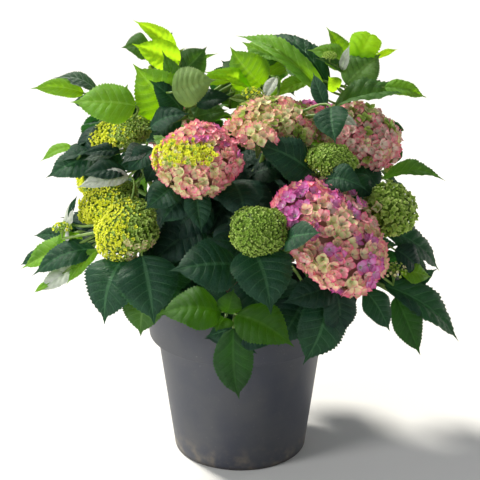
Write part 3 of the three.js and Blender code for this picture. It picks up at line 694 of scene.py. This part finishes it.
def nearest_stem(spot, above=0.0):
    """The shoots' nearest point to a spot. above is the extra cost of each metre higher than the spot."""
    spots = np.concatenate(list(shoot_paths.values()))
    cost = np.linalg.norm(spots - spot, axis=1) + above * np.maximum(spots[:, 2] - spot[2], 0)
    return spots[np.argmin(cost)]


def grow_placed_leaves():
    """The leaves of LEAVES, with stalks that come from the side of the nearest shoot."""
    for tip, foot, width, faces, arch, fold, tint in sum(LEAVES.values(), []):
        tip, foot = place(*tip), place(*foot)
        pull = nearest_stem(foot, 0.6) - foot
        reach = min(float(np.linalg.norm(pull)), LONGEST_STALK * MM)
        grow_leaf(tip, foot, width * MM, heading(*faces), arch, fold, tint, foot + unit(pull) * reach)


bark = Sheaf()
green = Sheaf()
build_stool()
build_boughs()
grow_placed_leaves()

# Masses that a seeded rule fills: leafy shoots, pairs of leaves on each, the leaves' length, how far out of
# the mass's own box they reach, and the tints, the commonest first. The dark tints, most at the front, low
# down and at the rear, are painted shade, and the lighter ones near the top painted sunlight.
TWIGS = {
    "front_skirt": (2, 2, 70, 0.6, ("shade", "deep")),
    "top_left": (2, 2, 70, 0.6, ("mid", "olive", "shade")),
    "top_middle": (2, 2, 75, 0.65, ("mid", "bright", "olive", "shade")),
    "top_right": (1, 2, 56, 0.4, ("mid", "deep")),
    "left_upper": (1, 1, 50, 0.25, ("deep", "mid")),
    "left_middle": (2, 2, 75, 0.65, ("shade", "deep")),
    "left_low": (2, 3, 80, 0.75, ("shade", "deep")),
    "front_left": (3, 2, 85, 0.65, ("shade", "deep")),
    "front_middle": (3, 2, 85, 0.6, ("shade", "deep")),
    "front_right": (3, 2, 85, 0.7, ("shade", "deep")),
    "right_low": (2, 3, 85, 0.75, ("shade", "deep")),
    "right_middle": (1, 1, 46, 0.15, ("deep", "shade")),
    "back_top": (4, 2, 88, 1.0, ("mid", "bright", "deep", "sunlit_lime")),
    "back_left": (3, 2, 84, 0.95, ("deep", "mid", "bright")),
    "back_right": (3, 2, 76, 0.5, ("deep", "mid", "bright")),
    "back_middle": (3, 2, 92, 1.0, ("deep", "mid", "shade")),
    "back_low_left": (4, 2, 94, 1.0, ("deep", "shade", "mid")),
    "back_low_right": (4, 2, 94, 1.0, ("deep", "shade", "mid")),
    "back_skirt": (4, 2, 92, 1.0, ("deep", "shade", "leafy")),
}
# The height that leaves face away from, and how far masses with placed leaves set their twigs back.
CROWN_HEART = 330
SET_BACK = 22


def grow_pair(node_at, first, axis, length, limits, outward, tints, rng):
    """Two opposite leaves at a node of a shoot. A tip past the limits comes in, and its leaf with it."""
    centre, reach = limits
    for hand in (-1, 1):
        ray = unit(axis * 0.45 + first * hand + np.array((0, 0, rng.uniform(-0.35, 0.2))))
        long = length * rng.uniform(0.82, 1.12)
        off = (node_at + ray * (long + rng.uniform(14, 24) * MM) - centre) / reach
        tip = centre + off * reach / max(1.0, float(np.linalg.norm(off)))
        foot = tip - unit(tip - node_at + ray * 0.02) * long
        faces = unit(outward * 0.7 + np.array((0, 0, 1.0)) - 0.4 * ray)
        tint = tints[min(int(rng.expovariate(1.3)), len(tints) - 1)]
        grow_leaf(tip, foot, long * rng.uniform(0.6, 0.76), faces, rng.uniform(0.08, 0.2),
                  rng.uniform(0.15, 0.5), tint, node_at)


def grow_twigs():
    """Leafy shoots from the nearest stem into each mass, with leaves in opposite pairs, each pair square to
    the one below it."""
    rng = random.Random(SEED)
    for name, (count, pairs, length, share, tints) in TWIGS.items():
        low, high = (np.array(c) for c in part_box("foliage_" + name))
        centre, reach = (low + high) / 2, (high - low) / 2
        centre = centre + place(0, SET_BACK if name in LEAVES else 0, 0)
        limits = (centre, reach * share)
        outward = unit(centre - place(0, 0, CROWN_HEART))
        start = nearest_stem(centre)
        flat = across(np.array((0.2, 0.1, 1.0)), outward)
        for k in range(count):
            spin = 2 * math.pi * (k + rng.uniform(-0.3, 0.3)) / count
            ray = unit(outward * 0.6 + flat * math.cos(spin) + np.cross(outward, flat) * math.sin(spin))
            end = centre + ray * reach * share * rng.uniform(0.35, 0.55)
            path = limb_path(start, end, -8, 10)
            green.add(*stem("twig", path, 0.03, k))
            axis = unit(end - path[-3])
            first = across(np.array((rng.uniform(-1, 1), rng.uniform(-1, 1), 0.3)), axis)
            for pair in range(pairs):
                long = length * MM * (0.8 + 0.12 * pair)
                grow_pair(path[10 - 3 * pair], first, axis, long, limits, outward, tints, rng)
                first = np.cross(axis, first)


# Two shells of leaves inside the masses: their number, radii, centre, the leaves' length, how near the
# shell's radii they stand, how far round to the rear they begin, and their tints. The inner shell is all in
# the shade tint, painted shade for the inside of the crown.
SHELLS = [
    (70, (165, 150, 105), (0, 15, 375), 92, (0.55, 0.85), -1.0, ("shade",)),
    (96, (200, 212, 136), (0, 30, 380), 88, (0.8, 1.0), 0.22, ("deep", "mid", "deep", "shade", "bright")),
]


def grow_shell(count, radii, centre, length, depth, rear, tints, seed):
    """Leaves low down the shoots, which close the inside of the crown and its rear."""
    rng = random.Random(seed)
    radii, centre = np.array(radii) * MM, place(*centre)
    for k in range(count):
        ray = ball_point(0.95 - 1.9 * (k + 0.5) / count, GOLDEN * k)
        if ray[1] < rear:
            continue
        spot = centre + ray * radii * rng.uniform(*depth)
        long = length * MM * rng.uniform(0.8, 1.1)
        slope = unit(across(np.array((0, 0, -1.0)) + jitter(rng, 0.6), ray))
        tip = spot + (slope * 0.6 + ray * 0.35) * long / 2
        foot = tip - unit(slope * 0.8 + ray * 0.5) * long
        grow_leaf(tip, foot, long * rng.uniform(0.62, 0.78), unit(ray + np.array((0, 0, 0.5))),
                  rng.uniform(0.08, 0.18), rng.uniform(0.15, 0.4), tints[k % len(tints)], nearest_stem(spot))


grow_twigs()
for number, shell in enumerate(SHELLS):
    grow_shell(*shell, SEED + 1 + 70 * number)

# ---- Flower heads


def sepal(rows, cols):
    """One sepal lying along +X in a unit floret, with its UVs: narrow at the foot and broad at the edge."""
    t = np.linspace(0, 1, rows)[:, None]
    u = np.linspace(-1, 1, cols)[None, :]
    half = 0.66 * (np.sin(np.pi * np.clip(t, 0.02, 0.985) ** 0.8)) ** 0.5 * (0.42 + 0.58 * t)
    x = t * (1 - 0.12 * u**2) * 0.98 + 0.02
    return x, half * u, grid_uvs(0.5 + 0.5 * u, t)


def grow_floret(tint, centre, normal, spin, radius, cup, grid, rng):
    """Four overlapping sepals, cupped round the centre. grid is the rows and columns of a sepal."""
    ahead = across(np.array((0.37, 0.21, 0.9)), normal)
    x, y, uvs = sepal(*grid)
    flat = np.hypot(x, y)
    for k in range(4):
        a = turned_by(ahead, normal, spin + k * math.pi / 2 + rng.uniform(-0.1, 0.1))
        side = np.cross(normal, a)
        bowl = cup + rng.uniform(-0.1, 0.1)
        rise = bowl * flat**1.6 - 0.5 * bowl * np.clip(flat - 0.75, 0, 1) + 0.05 * (k % 2)
        pull = 1 - 0.28 * bowl * flat
        points = (x * pull)[..., None] * a + (y * pull)[..., None] * side + rise[..., None] * normal
        sepal_sheaves[tint].add(centre + points.reshape(-1, 3) * radius, grid_faces(*grid), uvs)


def bead(centre, normal, radius):
    """A small closed bud: a six-sided ball of three rings and a tip."""
    sides = 6
    ahead = across(np.array((0.3, 0.2, 0.9)), normal)
    side = np.cross(normal, ahead)
    turn = np.linspace(0, 2 * np.pi, sides, endpoint=False)
    rim = np.cos(turn)[:, None] * ahead + np.sin(turn)[:, None] * side
    levels = ((-0.6, 0.75), (0.1, 1.0), (0.75, 0.62))
    rings = [centre + radius * (normal * up + rim * wide) for up, wide in levels]
    verts = np.concatenate([*rings, [centre + normal * radius * 1.05]])
    faces = np.concatenate([band_faces(3, sides), cap_faces(2 * sides, 3 * sides, sides)])
    uvs = grid_uvs(turn[None, :] / (2 * np.pi), np.array((0.2, 0.5, 0.8))[:, None])
    return verts, faces, np.concatenate([uvs, [(0.5, 1.0)]])


sepal_sheaves = {tint: Sheaf() for tint in SEPAL_TINTS}
shaded_core_sheaves = {"green": Sheaf(), "pink": Sheaf()}
beads = Sheaf()
branchlets = Sheaf()

# Florets by age: how far out in the dome they stand, how far back from there in their own sizes, how
# cupped they are, and the rows and columns of a sepal.
YOUNG = ((0.86, 0.97), 0.35, (0.6, 1.0), (3, 3))
OPEN = ((0.83, 0.91), 0.2, (0.5, 0.85), (6, 5))
# How far down a unit ball the florets' spiral runs, the room that each one takes in its own sizes, the share
# of young ones that are still closed, and the number of buds in the place of one large floret.
SPIRAL, ROOM, CLOSED, CROWD = 1.68, 1.3, 0.4, 18


def head_frame(name):
    """A head's centre, the axes of its dome as rows, the upright one last, and its radii in metres."""
    radii, lean, bearing, _, _ = HEADS[name]
    radii = np.array(radii) * MM
    middle = middle_of("bloom_" + name)
    if bearing is None:
        bearing = math.degrees(math.atan2(middle[1], middle[0]))
    axis = heading(bearing, 90 - lean)
    side = unit(np.cross((0, 0, 1.0), axis))
    centre = middle - axis * radii[2] * (1 - UNDERSIDE) / 2
    return centre, np.array((side, np.cross(axis, side), axis)), radii


def dealt(rng, **chances):
    """A tint dealt out by its chances."""
    return rng.choices(list(chances), list(chances.values()))[0]


def tint_of(rule, name, offset, normal, rng):
    """The tint of a floret by its head's rule. offset is its place from the head's centre in millimetres,
    and normal is the way it faces."""
    dice = rng.random()
    x, y, z = offset
    if rule == "bud":
        # Florets that face -X, towards the key light, get yellow, painted sunlight, and the heads with left
        # in their names get more of it.
        sunny = -normal[0] + (0.75 if "left" in name else -0.3)
        if name == "green_left_low" and z < 2 and x > 4:
            return dealt(rng, green=6, cream=2, bud=3)
        if name == "green_right":
            return dealt(rng, green=8, cream=1 if x < -8 else 0, bud=5)
        if sunny > 0.6 + 0.6 * dice:
            return "yellow"
        return dealt(rng, bud=1, green=2) if "left" in name else dealt(rng, bud=3, green=1)
    if rule == "magenta":
        if normal[2] - 0.75 * normal[0] > 0.6 + 0.25 * dice:
            return dealt(rng, magenta=5, rose=2, salmon=1)
        if normal[0] > 0.1 and z < 0:
            return dealt(rng, magenta=4, rose=5, salmon=5, cream=1)
        return dealt(rng, salmon=6, rose=3, magenta=2, dusky=3, cream=4)
    if rule == "cream":
        return dealt(rng, cream=5, green=3, salmon=3, rose=1)
    if rule == "dusky":
        return dealt(rng, dusky=6, cream=2, rose=3, green=1)
    # The left head's patch of young florets is a slanting band across it, as the photo's camera sees it, in
    # yellow: painted sunlight.
    seen = 0.94 * z + 0.34 * y
    if name == "pink_left" and abs(seen - 6 + 0.1 * x) < 11 - 0.06 * x and x < 18 and y < 0:
        return "yellow"
    if name == "pink_left" and seen < 2 and x < 30:
        return dealt(rng, cream=4, salmon=4, rose=3)
    return dealt(rng, rose=8, salmon=4, magenta=2, cream=1)


def grow_bud_patch(spot, normal, size, rng):
    """Small young florets that crowd the place of one large one, most in yellow: painted sunlight."""
    for _ in range(CROWD):
        nudge = across(jitter(rng, 1), normal) * rng.uniform(0, 1.1)
        bud_at = spot + (nudge + normal * rng.uniform(0.15, 0.5)) * size
        tint = dealt(rng, yellow=8, bud=1, cream=1)
        grow_floret(tint, bud_at, normal, rng.uniform(0, 1.6), size * 0.38, 0.8, YOUNG[-1], rng)


def build_head(name, seed):
    """Florets on a golden spiral down a head's lumpy dome, and branchlets to every fifth of them."""
    rng = random.Random(seed)
    centre, axes, radii = head_frame(name)
    size, rule = HEADS[name][3] * MM, HEADS[name][4]
    young = rule == "bud"
    depth, back, cups, grid = YOUNG if young else OPEN
    area = 2 * math.pi * (radii[0] * radii[1] + 1.4 * radii[0] * radii[2])
    count = int(area / (size * ROOM) ** 2)
    base = centre - axes[2] * radii[2] * 0.9
    for k in range(count):
        ball = ball_point(1 - (k + 0.5) / count * SPIRAL, GOLDEN * k + rng.uniform(-0.1, 0.1))
        ball[2] = max(ball[2], -UNDERSIDE)
        lump = 0.035 * math.sin(5 * ball[0] + seed) + 0.035 * math.sin(6 * ball[1] + 4 * ball[2] + seed)
        normal = unit((ball / radii) @ axes)
        spot = centre + (ball * radii) @ axes * (rng.uniform(*depth) + lump) - normal * size * back
        normal = unit(normal + jitter(rng, 0.22))
        tint = tint_of(rule, name, (spot - centre) / MM, normal, rng)
        grown = size * rng.uniform(0.82, 1.08)
        cup = rng.uniform(*cups)
        if young and tint == "cream":
            grown *= 1.7
        if tint == "yellow" and not young:
            grow_bud_patch(spot, normal, size, rng)
        elif young and tint != "cream" and rng.random() < CLOSED:
            sepal_sheaves[tint].add(*bead(spot + normal * size * 0.3, normal, size * rng.uniform(0.35, 0.5)))
        else:
            grow_floret(tint, spot, normal, rng.uniform(0, math.pi / 2), grown, cup, grid, rng)
            if not young:
                beads.add(*bead(spot + normal * grown * 0.12, normal, grown * 0.13))
        if k % 5 == 0:
            path = bezier(base, (base + spot) / 2 + axes[2] * radii[2] * 0.05, spot, 4)
            branchlets.add(*stem("branchlet", path))


def build_shaded_core(name, seed):
    """The close inner florets of a head, as one bumpy dome that keeps the sky from showing through. Its dark
    colours are painted shade.
    """
    centre, axes, radii = head_frame(name)
    rng = np.random.default_rng(seed)
    rows, cols, share = 14, 25, 0.76
    rise = np.linspace(math.pi / 2, -math.pi / 2 * 0.8, rows)[:, None]
    turn = np.linspace(0, 2 * np.pi, cols)[None, :]
    bumps = share + 0.05 * rng.uniform(-1, 1, (rows, cols))
    bumps[:, -1] = bumps[:, 0]
    bumps[0] = share
    x, y = np.cos(rise) * np.cos(turn), np.cos(rise) * np.sin(turn)
    z = np.maximum(np.sin(rise), -UNDERSIDE) + 0 * turn
    points = centre + (bumps[..., None] * np.stack([x, y, z], -1) * radii) @ axes
    sheaf = shaded_core_sheaves[name.split("_")[0]]
    uvs = grid_uvs(turn / (2 * np.pi), (rise + 1) / 3)
    sheaf.add(points.reshape(-1, 3), grid_faces(rows, cols)[:, ::-1], uvs)


def build_cluster(place_at, radius, tints, count, size, seed):
    """A young head or a side lobe among the leaves: a low cushion of florets on its own stalk."""
    rng = random.Random(seed)
    centre = place(*place_at)
    foot = centre - place(0, 0, radius)
    for k in range(count):
        normal = ball_point(1 - k / count, GOLDEN * k) * (1, 1, 0.7) + (0, 0, 0.05)
        spot = centre + normal * radius * MM * rng.uniform(0.85, 1.05)
        tint = rng.choice(tints)
        grow_floret(tint, spot, unit(normal), rng.uniform(0, 1.6), size * MM, 0.8, (4, 3), rng)
        if k % 4 == 0:
            branchlets.add(*stem("sprig", bezier(foot, centre, spot, 3)))
    node_at = nearest_stem(centre)
    green.add(*stem("young", bezier(node_at, (node_at + centre) / 2 - place(0, 0, 6), foot, 8)))


# Four young heads, then two side lobes of the middle pink head: the place, the radius, the tints, the number
# of florets and their radius.
CLUSTERS = [
    ((18, -16, 550), 15, ("bud", "yellow", "green"), 46, 3.2),
    ((126, 0, 602), 9, ("bud", "green"), 46, 3.2),
    ((215, -112, 320), 18, ("green", "green", "bud", "cream"), 46, 3.2),
    ((-247, -106, 382), 13, ("yellow", "bud"), 46, 3.2),
    ((23, -112, 512), 24, ("salmon", "rose", "salmon", "cream"), 30, 10),
    ((-3, -70, 513), 17, ("salmon", "rose", "salmon"), 18, 9),
]
for number, cluster in enumerate(CLUSTERS):
    build_cluster(*cluster, SEED + 50 + number)
for number, name in enumerate(HEADS):
    build_head(name, SEED + number)
    build_shaded_core(name, SEED + number)

# ---- Pot and potting mix

# The pot in millimetres: the radii of its foot, of its body's and its collar's ends, and two heights.
FOOT, BODY_TOP, COLLAR, RIM = 100, 124, 136, 140
COLLAR_LOW, POT_TOP = 186, 249.5
# The potting mix: its radius, the height of its edge, how much its middle stands up, and its crumbs.
SOIL_RADIUS, SOIL_EDGE, SOIL_CROWN, CRUMBS = 132.5, 222, 5, 1100


def lathe(profile, sides):
    """A closed shell from a profile of (radius, height) pairs in millimetres, as a grid with its UVs."""
    profile = np.array(profile, float) * MM
    turn = np.linspace(0, 2 * np.pi, sides + 1)
    r, z = profile[:, 0][:, None], profile[:, 1][:, None]
    points = np.stack([r * np.cos(turn), r * np.sin(turn), z + 0 * turn], -1)
    run = np.concatenate([[0], np.cumsum(np.linalg.norm(np.diff(profile, axis=0), axis=1))])
    uvs = grid_uvs(turn / (2 * np.pi), (run / run[-1])[:, None])
    return points.reshape(-1, 3), grid_faces(len(profile), sides + 1)[:, ::-1], uvs


def rounded(corners, radius, steps=4):
    """An outline with each inner corner replaced by a small curve."""
    corners = [np.array(c, float) for c in corners]
    made = [corners[0]]
    for a, b, c in zip(corners, corners[1:], corners[2:]):
        cut = min(radius, 0.45 * np.linalg.norm(b - a), 0.45 * np.linalg.norm(c - b))
        made.extend(bezier(b + unit(a - b) * cut, b, b + unit(c - b) * cut, steps))
    made.append(corners[-1])
    return made


def pot_profile():
    """From the middle of the underside, up the tapered body and the collar, over the rim and down inside."""
    outside = [(0.01, 3), (FOOT - 12, 3), (FOOT - 10, 0), (FOOT, 0), (BODY_TOP, COLLAR_LOW),
               (COLLAR, COLLAR_LOW), (RIM, POT_TOP)]
    inside = [(RIM - 2.4, POT_TOP + 0.3), (COLLAR - 2.2, COLLAR_LOW + 2), (BODY_TOP - 3, COLLAR_LOW - 2),
              (FOOT - 2.5, 3.4), (0.01, 3.2)]
    return rounded(outside + inside, 2.2)


def pot_material():
    """Satin grey plastic with dust near the foot, soil along its lowest edge and fine pale specks."""
    mat, nt, shader, _ = new_material("pot_plastic")
    where = object_place(nt)
    parts = nt.nodes.new("ShaderNodeSeparateXYZ")
    nt.links.new(where, parts.inputs[0])
    high = parts.outputs[2]
    grain = noise(nt, 420.0, 3.0, where)
    clouds = noise(nt, 14.0, 4.0, where)
    specks = noise(nt, 900.0, 1.0, where)
    colour = blend(nt, ramp(nt, clouds, 0.3, 0.72), (0.046, 0.051, 0.072), (0.074, 0.077, 0.088))
    dust = ramp(nt, noise(nt, 46.0, 5.0, where), 0.42, 0.75)
    dust = maths(nt, "MULTIPLY", inverse(nt, ramp(nt, high, 0.0, 0.05)), dust)
    colour = blend(nt, dust, colour, (0.20, 0.17, 0.13))
    foot = inverse(nt, ramp(nt, high, 0.001, 0.008))
    colour = blend(nt, maths(nt, "MULTIPLY", foot, 0.6), colour, (0.035, 0.028, 0.02))
    colour = blend(nt, ramp(nt, specks, 0.76, 0.8), colour, (0.42, 0.41, 0.38))
    nt.links.new(colour, shader.inputs["Base Color"])
    shader.inputs["Specular IOR Level"].default_value = 0.45
    nt.links.new(maths(nt, "MULTIPLY_ADD", clouds, 0.2, 0.42), shader.inputs["Roughness"])
    bump(nt, shader, grain, 0.25, 0.0004)
    return mat


def build_pot():
    sheaf = Sheaf()
    sheaf.add(*lathe(pot_profile(), 128))
    ob = sheaf.build("pot_shell", pot_material(), "pot")
    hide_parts("pot")


def soil_material():
    mat, nt, shader, _ = new_material("potting_mix")
    where = object_place(nt)
    patches = ramp(nt, noise(nt, 160.0, 5.0, where), 0.35, 0.7)
    colour = blend(nt, patches, (0.018, 0.011, 0.007), (0.075, 0.045, 0.026))
    nt.links.new(colour, shader.inputs["Base Color"])
    shader.inputs["Roughness"].default_value = 0.95
    bump(nt, shader, noise(nt, 700.0, 4.0, where), 0.6, 0.001)
    return mat


def build_soil():
    """Potting mix: an uneven top with crumbs and chips of bark on it."""
    rng = np.random.default_rng(SEED + 5)
    sheaf = Sheaf()
    rows, cols = 40, 97
    t = np.linspace(0, 1, rows)[:, None]
    turn = np.linspace(0, 2 * np.pi, cols)[None, :]
    r = t * SOIL_RADIUS
    lumps = 1.5 * np.sin(r * 0.21 + 3 * np.cos(turn)) + 1.2 * np.cos(5 * turn + r * 0.13) * t
    z = SOIL_EDGE + SOIL_CROWN * (1 - t**2) + 0.5 * lumps + 0.35 * rng.uniform(-1, 1, (rows, 1))
    points = np.stack([r * np.cos(turn), r * np.sin(turn), z], -1).reshape(-1, 3) * MM
    sheaf.add(points, grid_faces(rows, cols), points[:, :2] / 0.28 + 0.5)
    for _ in range(CRUMBS):
        out, at = 128 * math.sqrt(rng.uniform()), rng.uniform(0, 2 * np.pi)
        if out < 24:
            continue
        up = SOIL_EDGE + 0.5 + SOIL_CROWN * (1 - (out / 132) ** 2)
        spot = heading(math.degrees(at), 0) * out * MM + place(0, 0, up)
        long, wide = rng.uniform(2, 8), rng.uniform(1, 3)
        half = heading(rng.uniform(0, 360), rng.uniform(-20, 20)) * long * MM / 2
        radii = np.array((0.6, 1.0, 0.5)) * wide * MM
        sheaf.add(*tube([spot - half, spot, spot + half], radii, 6, 0.25, int(rng.integers(1 << 30))))
    ob = sheaf.build("potting_mix", soil_material(), "soil")
    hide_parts("soil")


build_pot()
build_soil()

# ---- The plant's pieces, and the frame's nodes hidden under them

for tint, sheaf in leaf_sheaves.items():
    material = leaf_material("leaf_" + tint, *LEAF_TINTS[tint])
    sheaf.build("leaves_" + tint, material, "leaf")
for tint, sheaf in sepal_sheaves.items():
    material = sepal_material("sepal_" + tint, *SEPAL_TINTS[tint])
    slot = "bloom_green" if tint in ("green", "bud", "yellow") else "bloom_pink"
    sheaf.build("sepals_" + tint, material, slot)
beads.build("flower_beads", sepal_material("bead", *BEAD_TINT), "bloom_green")
stem_green = stem_material("green_stem", (0.10, 0.20, 0.03), (0.20, 0.32, 0.06), 90.0, 0.5, 0.0005)
stem_bark = stem_material("bark", (0.09, 0.055, 0.032), (0.24, 0.17, 0.11), 120.0, 0.85, 0.0015)
branchlets.build("flower_branchlets", stem_green, "shoot")
stalks.build("leaf_stalks", stem_green, "shoot")
bark_piece = bark.build("stool_and_boughs", stem_bark, "wood")
shoot_piece = green.build("green_shoots", stem_green, "shoot")
for kind, sheaf in shaded_core_sheaves.items():
    sheaf.build(kind + "_head_shaded_cores", sepal_material("core_" + kind, *SHADED_CORE_TINTS[kind]), "bloom_" + kind)

nodes = list(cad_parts)
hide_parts(*[n for n in nodes if n.startswith("foliage_")])
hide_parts(*[n for n in nodes if n.startswith("bloom_pink")])
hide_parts(*[n for n in nodes if n.startswith("bloom_green")])
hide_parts(*[n for n in nodes if n.startswith(("stool", "bough_"))])
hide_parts(*[n for n in nodes if n.startswith("shoot_")])

# ---- Floor, light and camera


def build_floor():
    """A pale floor, 80 metres across, half a millimetre under the pot."""
    points = 9
    x, y = np.meshgrid(*[np.linspace(-40.0, 40.0, points)] * 2, indexing="ij")
    verts = np.stack([x, y, 0 * x - 0.5 * MM], -1).reshape(-1, 3)
    mat, nt, shader, _ = new_material("floor_pale")
    cloud = noise(nt, 3.0, 2.0, object_place(nt))
    nt.links.new(blend(nt, cloud, (0.74, 0.74, 0.74), (0.77, 0.77, 0.77)), shader.inputs["Base Color"])
    shader.inputs["Roughness"].default_value = 0.9
    me = bpy.data.meshes.new("floor")
    me.from_pydata(verts.tolist(), [], grid_faces(points, points).tolist())
    me.materials.append(mat)
    ob = new_object("floor", me)


def area_light(name, at, towards, size, power, colour):
    data = bpy.data.lights.new(name, "AREA")
    data.shape = "DISK"
    data.size = size
    data.energy = power
    data.color = colour
    ob = new_object(name, data)
    ob.location = at
    ob.rotation_euler = (Vector(towards) - Vector(at)).to_track_quat("-Z", "Y").to_euler()


def sun_light(name, bearing, climb, spread, strength, colour):
    data = bpy.data.lights.new(name, "SUN")
    data.angle = math.radians(spread)
    data.energy = strength
    data.color = colour
    ob = new_object(name, data)
    ob.rotation_euler = Vector(heading(bearing, climb)).to_track_quat("Z", "Y").to_euler()


def build_world():
    """Soft bluish light all round. The camera sees a white studio, as bright as the floor, in its place."""
    world = bpy.data.worlds.new("studio")
    bpy.context.scene.world = world
    world.use_nodes = True
    tree = world.node_tree
    soft = tree.nodes["Background"]
    soft.inputs[0].default_value = (0.94, 0.97, 1.0, 1.0)
    soft.inputs[1].default_value = 0.28
    seen = tree.nodes.new("ShaderNodeBackground")
    seen.inputs[0].default_value = (1.0, 1.0, 1.0, 1.0)
    seen.inputs[1].default_value = 1.0
    path = tree.nodes.new("ShaderNodeLightPath")
    mix = tree.nodes.new("ShaderNodeMixShader")
    tree.links.new(path.outputs["Is Camera Ray"], mix.inputs[0])
    tree.links.new(soft.outputs[0], mix.inputs[1])
    tree.links.new(seen.outputs[0], mix.inputs[2])
    tree.links.new(mix.outputs[0], tree.nodes["World Output"].inputs["Surface"])


def build_lights():
    sun_light("key", 136, 50, 12, 5.0, (1.0, 0.96, 0.86))
    area_light("rim", (1.5, 0.9, 0.35), (0, 0, 0.2), 0.4, 5, (1.0, 0.95, 0.88))
    area_light("fill", (-2.3, -1.4, 1.4), (0, 0, 0.35), 1.0, 44, (1.0, 0.99, 0.97))


def build_camera():
    """A long lens that looks 20 degrees down on the plant from its front."""
    data = bpy.data.cameras.new("camera")
    data.lens = 104.6
    data.sensor_width = 36
    ob = new_object("camera", data)
    ob.location = (0, -1.93, 1.031)
    ob.rotation_euler = (math.radians(90 - 20), 0, 0)
    bpy.context.scene.camera = ob


build_floor()
build_world()
build_lights()
build_camera()
bpy.context.scene.view_settings.view_transform = "Standard"
